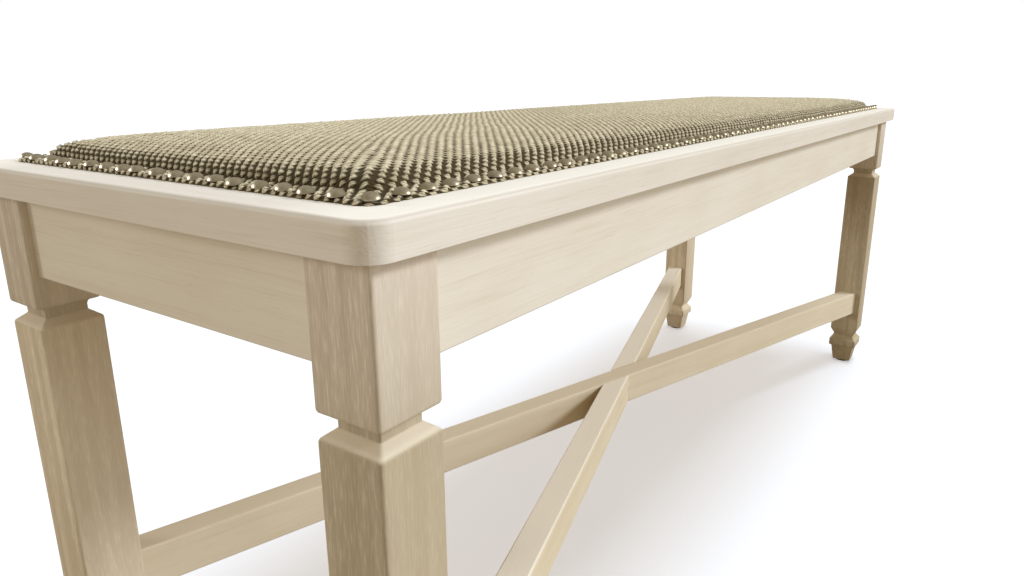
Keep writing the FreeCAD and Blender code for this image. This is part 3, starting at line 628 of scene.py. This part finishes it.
lot = add(tree, "TexWhiteNoise", {"Vector": cell_id.outputs[0]}, noise_dimensions="2D")
fibre = add(
    tree, "TexNoise", {"Vector": count_cells.outputs[0], "Scale": 2.6, "Detail": 3.0}, noise_dimensions="2D"
)
loose = add(tree, "Math", {0: fibre.outputs["Fac"], 1: 0.5, 2: -0.25}, operation="MULTIPLY_ADD")
edge = add(tree, "Math", {0: check.outputs[0], 1: loose.outputs[0]}, operation="ADD")
pale = add(
    tree, "MapRange", {"Value": edge.outputs[0], "From Min": -0.60, "From Max": 0.12},
    interpolation_type="SMOOTHSTEP",
).outputs["Result"]
bundle = add(tree, "Mix", {0: lot.outputs["Value"], 6: tint("#BDAF90"), 7: tint("#D9CCAD")}, data_type="RGBA")
ground = add(tree, "Mix", {0: fibre.outputs["Fac"], 6: tint("#302717"), 7: tint("#50442C")}, data_type="RGBA")
parting = add(tree, "MapRange", {"Value": waves["strand"], "From Min": 0.3, "From Max": 1.0, "To Max": 0.8})
bundle = add(tree, "Mix", {0: parting.outputs[0], 6: bundle.outputs[2], 7: tint("#5E5238")}, data_type="RGBA")
cloth_colour = add(tree, "Mix", {0: pale, 6: ground.outputs[2], 7: bundle.outputs[2]}, data_type="RGBA")
tree.links.new(cloth_colour.outputs[2], shader.inputs["Base Color"])
shader.inputs["Roughness"].default_value = 0.9
shader.inputs["Sheen Weight"].default_value = 0.04
shader.inputs["Specular IOR Level"].default_value = 0.15
bump = add(tree, "Bump", {"Height": waves["strand"], "Strength": 0.5, "Distance": -0.0003})
tree.links.new(bump.outputs["Normal"], shader.inputs["Normal"])
mesh.materials.append(basketweave)
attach(cover, "root")
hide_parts("fabric_cover")

# NAILHEADS
# Domed steel nails with an antique pewter finish, about 18 mm apart through the hem, driven by
# hand, so no two sit quite alike.
nail_seat = 0.0024  # the heads' rims above the border
nail_rings = [  # half width and height of each ring, in metres
    (0.0044, 0.0), (0.0045, 0.0004), (0.0042, 0.0014), (0.0035, 0.0024), (0.0024, 0.0031), (0.0010, 0.0035),
]
bpy.ops.object.select_all(action="DESELECT")
bpy.ops.mesh.primitive_circle_add(vertices=12, radius=nail_rings[0][0], fill_type="NGON")
pattern_nail = bpy.context.object
bpy.ops.object.mode_set(mode="EDIT")
bpy.ops.mesh.select_all(action="SELECT")
for (half, height), (next_half, next_height) in zip(nail_rings, nail_rings[1:]):
    bpy.ops.mesh.extrude_region_move(TRANSFORM_OT_translate={"value": (0, 0, next_height - height)})
    grow = next_half / half
    bpy.ops.transform.resize(value=(grow, grow, 1), center_override=(0, 0, next_height))
bpy.ops.mesh.select_all(action="SELECT")
bpy.ops.mesh.normals_make_consistent(inside=False)
bpy.ops.object.mode_set(mode="OBJECT")
bpy.ops.object.shade_smooth_by_angle(angle=math.radians(60))
# a smoky satin metal that shows a small, soft glint
pewter, tree, shader = new_material("antique_pewter")
shader.inputs["Metallic"].default_value = 0.6
place = add(tree, "TexCoord").outputs["Object"]
smoke = add(tree, "TexNoise", {"Vector": place, "Scale": 1 / 0.003, "Detail": 3.0})
shade = add(tree, "Mix", {0: smoke.outputs["Fac"], 6: tint("#8F856F"), 7: tint("#B4A990")}, data_type="RGBA")
tree.links.new(shade.outputs[2], shader.inputs["Base Color"])
reach = {"Value": smoke.outputs["Fac"], "From Min": 0.3, "From Max": 0.7, "To Min": 0.44, "To Max": 0.38}
tree.links.new(add(tree, "MapRange", reach).outputs["Result"], shader.inputs["Roughness"])
pattern_nail.data.materials.append(pewter)
for side, spots in nail_rows.items():
    heads = []
    for x, y in spots:
        head = pattern_nail.copy()
        head.data = pattern_nail.data.copy()
        lean = Euler((chance.normal(0, 0.05), chance.normal(0, 0.05), chance.uniform(0, 0.5)))
        seat = Matrix.Translation((x, y, border_top + nail_seat + chance.normal(0, 0.0001)))
        head.data.transform(seat @ lean.to_matrix().to_4x4())
        scene.collection.objects.link(head)
        heads.append(head)
    bpy.ops.object.select_all(action="DESELECT")
    for head in heads:
        head.select_set(True)
    bpy.context.view_layer.objects.active = heads[0]
    bpy.ops.object.join()
    strip = bpy.context.object
    strip.name = f"nail_row_{side}"
    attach(strip, "root")
    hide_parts(f"nailheads_{side}")
bpy.data.objects.remove(pattern_nail)

# FLOOR, LIGHT AND CAMERA
# A pale studio floor, broad lights from the front right, the back left and overhead, of which
# only the overhead one reaches the floor, two small lamps that only give the nails their
# glints, and the photograph's camera.
bpy.ops.object.select_all(action="DESELECT")
bpy.ops.mesh.primitive_plane_add(size=40)
floor = bpy.context.object
floor.name = "floor"
# matt: the camera sees it almost white, and it throws a warm light back up
floor_look, tree, shader = new_material("pale_floor")
shader.inputs["Base Color"].default_value = (0.60, 0.51, 0.38, 1)
shader.inputs["Roughness"].default_value = 1.0
shader.inputs["Specular IOR Level"].default_value = 0.0
shown = add(tree, "BsdfDiffuse", {"Color": (0.93, 0.97, 1.0, 1)})
white = add(tree, "Emission", {"Color": (0.40, 0.405, 0.44, 1), "Strength": 1.0})
shown = add(tree, "AddShader", {0: shown.outputs[0], 1: white.outputs[0]})


def seen_ray(tree):
    """1 for rays from the camera, 0 for those that carry light to other things."""
    path = add(tree, "LightPath").outputs
    seen = {0: path["Is Camera Ray"], 1: path["Is Transmission Ray"]}
    return add(tree, "Math", seen, operation="MAXIMUM").outputs[0]


surface = add(tree, "MixShader", {0: seen_ray(tree), 1: shader.outputs[0], 2: shown.outputs[0]})
tree.links.new(surface.outputs[0], tree.nodes["Material Output"].inputs["Surface"])
floor.data.materials.append(floor_look)

world = bpy.data.worlds.new("studio")
scene.world = world
world.use_nodes = True
tree = world.node_tree
sky = add(tree, "Mix", {0: seen_ray(tree), 6: (0.40, 0.345, 0.26, 1), 7: (1, 1, 1, 1)}, data_type="RGBA")
tree.links.new(sky.outputs[2], tree.nodes["Background"].inputs["Color"])

bench = bpy.data.collections.new("bench")
for thing in scene.objects:
    if thing is not floor and thing.type == "MESH":
        bench.objects.link(thing)
for name, aim, strength, colour, spread in (  # where each sun stands, and its spread in degrees
    ("key", (0.55, -0.79, 0.26), 1.15, (0.90, 0.98, 1.10), 40),
    ("front", (0.47, -0.72, 0.51), 1.5, (0.98, 1.05, 1.13), 12),
    ("fill", (-0.55, 0.79, 0.26), 1.05, (1.0, 1.0, 1.0), 14),
    ("overhead", (0.0, -0.1, 1.0), 1.3, (0.85, 1.0, 1.20), 28),
):
    bpy.ops.object.light_add(type="SUN", rotation=Vector(aim).to_track_quat("Z", "Y").to_euler())
    lamp = bpy.context.object
    lamp.name = name
    lamp.data.energy = strength
    lamp.data.color = colour
    lamp.data.angle = math.radians(spread)
    lamp.visible_glossy = False
    if name != "overhead":
        lamp.light_linking.receiver_collection = bench  # flagged off the floor
for place, strength, sides in (  # where each glint lamp stands, and the nail rows it lights
    ((1.65, -2.37, 0.90), 500, ("front", "right")), ((-1.65, 2.37, 0.90), 600, ("back", "left")),
):
    bpy.ops.object.light_add(type="POINT", location=place)
    glint = bpy.context.object
    glint.data.energy = strength
    glint.data.shadow_soft_size = 0.15
    glint.visible_diffuse = False
    lit = bpy.data.collections.new(f"nails_{sides[0]}")
    for side in sides:
        lit.objects.link(bpy.data.objects[f"nail_row_{side}"])
    glint.light_linking.receiver_collection = lit

lens = bpy.data.cameras.new("camera")
camera = bpy.data.objects.new("camera", lens)
scene.collection.objects.link(camera)
lens.sensor_width = 36.0
lens.lens = 26.15
lens.shift_x = -0.00354
lens.shift_y = -0.00709
lens.clip_start = 0.01
camera.matrix_world = (
    Matrix.Translation((-0.8220, -0.4088, 0.5090))
    @ Matrix.Rotation(math.radians(34.945 - 90), 4, "Z")
    @ Matrix.Rotation(math.radians(90 - 15.359), 4, "X")
    @ Matrix.Rotation(math.radians(-0.258), 4, "Z")
)
scene.camera = camera
scene.view_settings.view_transform = "Standard"
